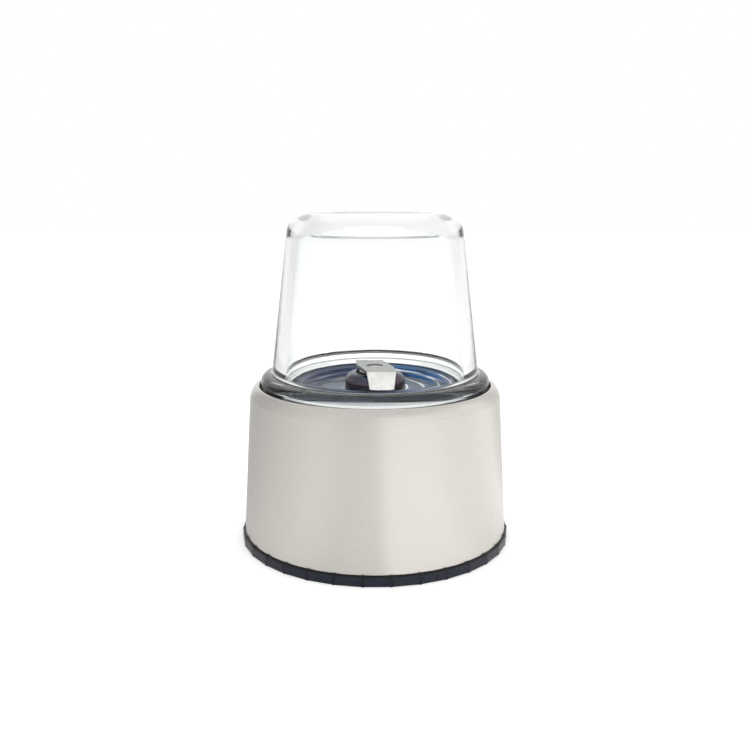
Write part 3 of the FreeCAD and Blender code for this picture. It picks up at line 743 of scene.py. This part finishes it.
# The other pieces keep their CAD shape
ringLook = {"colour": (0.0040, 0.0052, 0.0105, 1), "tint": (0.0065, 0.0080, 0.0140, 1),
            "grain": 6.0, "depth": 0.12, "gloss": 0.30, "shine": 0.15}
frameLook = {"colour": (0.022, 0.022, 0.024, 1), "tint": (0.030, 0.030, 0.032, 1),
             "grain": 3.0, "depth": 0.25, "gloss": 0.42, "shine": 0.4}
couplingLook = {"colour": (0.030, 0.030, 0.032, 1), "tint": (0.045, 0.045, 0.046, 1),
                "grain": 4.0, "depth": 0.35, "gloss": 0.45, "shine": 0.5}
spacerLook = {"colour": (0.62, 0.60, 0.54, 1), "tint": (0.70, 0.68, 0.62, 1),
              "grain": 5.0, "depth": 0.12, "gloss": 0.35, "shine": 0.5}
fibreLook = {"colour": (0.22, 0.055, 0.035, 1), "tint": (0.28, 0.085, 0.05, 1),
             "grain": 4.0, "depth": 0.4, "gloss": 0.6, "shine": 0.3}
gasketLook = {"colour": (0.72, 0.72, 0.70, 1), "tint": (0.78, 0.78, 0.76, 1), "depth": 0.15, "gloss": 0.5}
sealLook = {"colour": (0.016, 0.016, 0.017, 1), "tint": (0.030, 0.030, 0.030, 1), "depth": 0.2, "gloss": 0.5}
bronzeLook = {"colour": (0.42, 0.25, 0.11, 1), "tint": (0.30, 0.17, 0.08, 1), "depth": 0.25, "gloss": 0.35}
spindleLook = {"colour": (0.60, 0.59, 0.57, 1), "tint": (0.52, 0.51, 0.49, 1), "depth": 0.1, "gloss": 0.14}
insertLook = {"colour": (0.58, 0.43, 0.17, 1), "tint": (0.46, 0.32, 0.12, 1), "depth": 0.15, "gloss": 0.28}
nutLook = {"colour": (0.58, 0.45, 0.20, 1), "tint": (0.50, 0.37, 0.15, 1), "depth": 0.15, "gloss": 0.26}
zincLook = {"colour": (0.52, 0.53, 0.55, 1), "tint": (0.60, 0.58, 0.52, 1), "depth": 0.2, "gloss": 0.30}
clipLook = {"colour": (0.06, 0.06, 0.07, 1), "tint": (0.09, 0.085, 0.08, 1), "depth": 0.2, "gloss": 0.34}
plainNodes = {  # finish, material, look and broken edge in mm
    "base_ring": (plastic, "ring_plastic", ringLook, 0.2),
    "inner_body": (plastic, "frame_plastic", frameLook, 0),
    "drive_coupling": (plastic, "coupling_nylon", couplingLook, 0.2),
    "blade_spacer": (plastic, "spacer_nylon", spacerLook, 0),
    "dish_washer": (plastic, "fibre_washer", fibreLook, 0),
    "cup_gasket": (rubber, "gasket_silicone", gasketLook, 0),
    "shaft_seal": (rubber, "seal_rubber", sealLook, 0),
    "upper_bush": (turnedMetal, "upper_bronze", bronzeLook, 0),
    "lower_bush": (turnedMetal, "lower_bronze", bronzeLook, 0),
    "thrust_washer": (turnedMetal, "thrust_bronze", bronzeLook, 0),
    "spindle": (turnedMetal, "ground_steel", spindleLook, 0),
    "coupling_insert": (turnedMetal, "insert_brass", insertLook, 0),
    "housing_nut": (stampedMetal, "nut_brass", nutLook, 0.25),
    "lock_washer": (stampedMetal, "washer_zinc", zincLook, 0),
    "ring_screws": (stampedMetal, "ring_screw_zinc", zincLook, 0),
    "lock_ring_screws": (stampedMetal, "lock_screw_zinc", zincLook, 0),
    "circlip": (stampedMetal, "clip_steel", clipLook, 0),
}
for node, (finish, name, look, edge) in plainNodes.items():
    dress(node, finish(name, look), edge)
print("other nodes")

# Studio: how its light changes round the object, in steps by bearing from the camera's side
studio = {
    "steps": [  # from and to in degrees, the right positive, and the change
        (-158, -142, -0.45),
        (-142, -50, 0.29),
        (-62, -50, 0.04),
        (-40, -20, -0.06),
        (-18, -8, 0.03),
        (1, 10, 0.25),
        (45, 64, -0.08),
        (80, 110, 0.08),
        (110, 136, -0.31),
        (148, 160, 0.25),
    ],
    "ceilingSpan": (0.5, 0.9),
    "ceilingDrop": 0.17,
    "throughGlass": 0.6,
    "white": (1, 1, 1, 1),
}


def studioShade(tool, east, north):
    bearing = tool.maths("ARCTAN2", east, 0 - north) * math.degrees(1)
    shade = 1
    for start, end, change in studio["steps"]:
        shade = shade + change * bearing.between(start, end)
    return shade


def lightPath(tool, kind):
    return tool.node("LightPath", {}, {}, kind)


# Floor: white, and shaded as the studio is in the steel's reflections
floor = {
    "size": 6.0,
    "colour": (0.93, 0.93, 0.93, 1),
    "shade": 0.80,
    "gloss": 0.9,
    "shine": 0.1,
    "glow": 0.22,
}
bpy.ops.mesh.primitive_plane_add(size=floor["size"])
ground = bpy.context.object
ground.name = "floor"
floorMaterial, tool, _, (x, y, _) = newMaterial("floor_white")
through = studio["throughGlass"] * lightPath(tool, "Is Transmission Ray")
glossy = lightPath(tool, "Is Glossy Ray") * (1 - through)
shade = studioShade(tool, x, y) * floor["shade"]
shaded = vector(tool, shade, shade, shade)
surface(floorMaterial, tool, {
    "Base Color": glossy.blend(floor["colour"], shaded),
    "Roughness": floor["gloss"],
    "Specular IOR Level": floor["shine"],
    "Emission Color": glossy.blend(studio["white"], shaded),
    "Emission Strength": floor["glow"],
})
ground.data.materials.append(floorMaterial)

# World: white to the camera, softer through glass, with the studio's dark sides in reflections
world = bpy.data.worlds.new("studio")
scene.world = world
world.use_nodes = True
world.node_tree.nodes.clear()
tool = Wire(world.node_tree)
east, north, up = tool.node("TexCoord", {}, {}, "Generated").axes()
shade = studioShade(tool, east, north)
overhead = 1 - studio["ceilingDrop"] * lightPath(tool, "Is Glossy Ray")
shade = shade + (overhead - shade) * up.between(*studio["ceilingSpan"])
through = studio["throughGlass"] * lightPath(tool, "Is Transmission Ray")
shade = shade + (1 - shade) * through
level = shade + (1 - shade) * lightPath(tool, "Is Camera Ray")
background = tool.node("Background", {}, {"Color": studio["white"], "Strength": level})
tool.node("OutputWorld", {}, {"Surface": background})

# Softbox overhead, in metres and watts
topBox = {"where": (0.0, -0.2, 1.1), "aim": (0, 0, 0.05), "side": 0.9, "power": 3.0}
light = bpy.data.lights.new("top_box", "AREA")
light.shape = "RECTANGLE"
light.size = light.size_y = topBox["side"]
light.energy = topBox["power"]
lamp = bpy.data.objects.new("top_box", light)
lamp.location = topBox["where"]
beam = Vector(topBox["aim"]) - Vector(topBox["where"])
lamp.rotation_euler = beam.to_track_quat("-Z", "Y").to_euler()
lamp.visible_camera = False
lamp.visible_glossy = False
scene.collection.objects.link(lamp)

camera = {"lens": 42.65, "sensor": 36.0, "where": (0, -0.3611, 0.1431), "down": 11.66}
lens = bpy.data.cameras.new("camera")
lens.lens = camera["lens"]
lens.sensor_width = camera["sensor"]
viewer = bpy.data.objects.new("camera", lens)
viewer.location = camera["where"]
viewer.rotation_euler = (math.radians(90 - camera["down"]), 0, 0)
scene.collection.objects.link(viewer)
scene.camera = viewer
scene.view_settings.view_transform = "Standard"
print("studio")
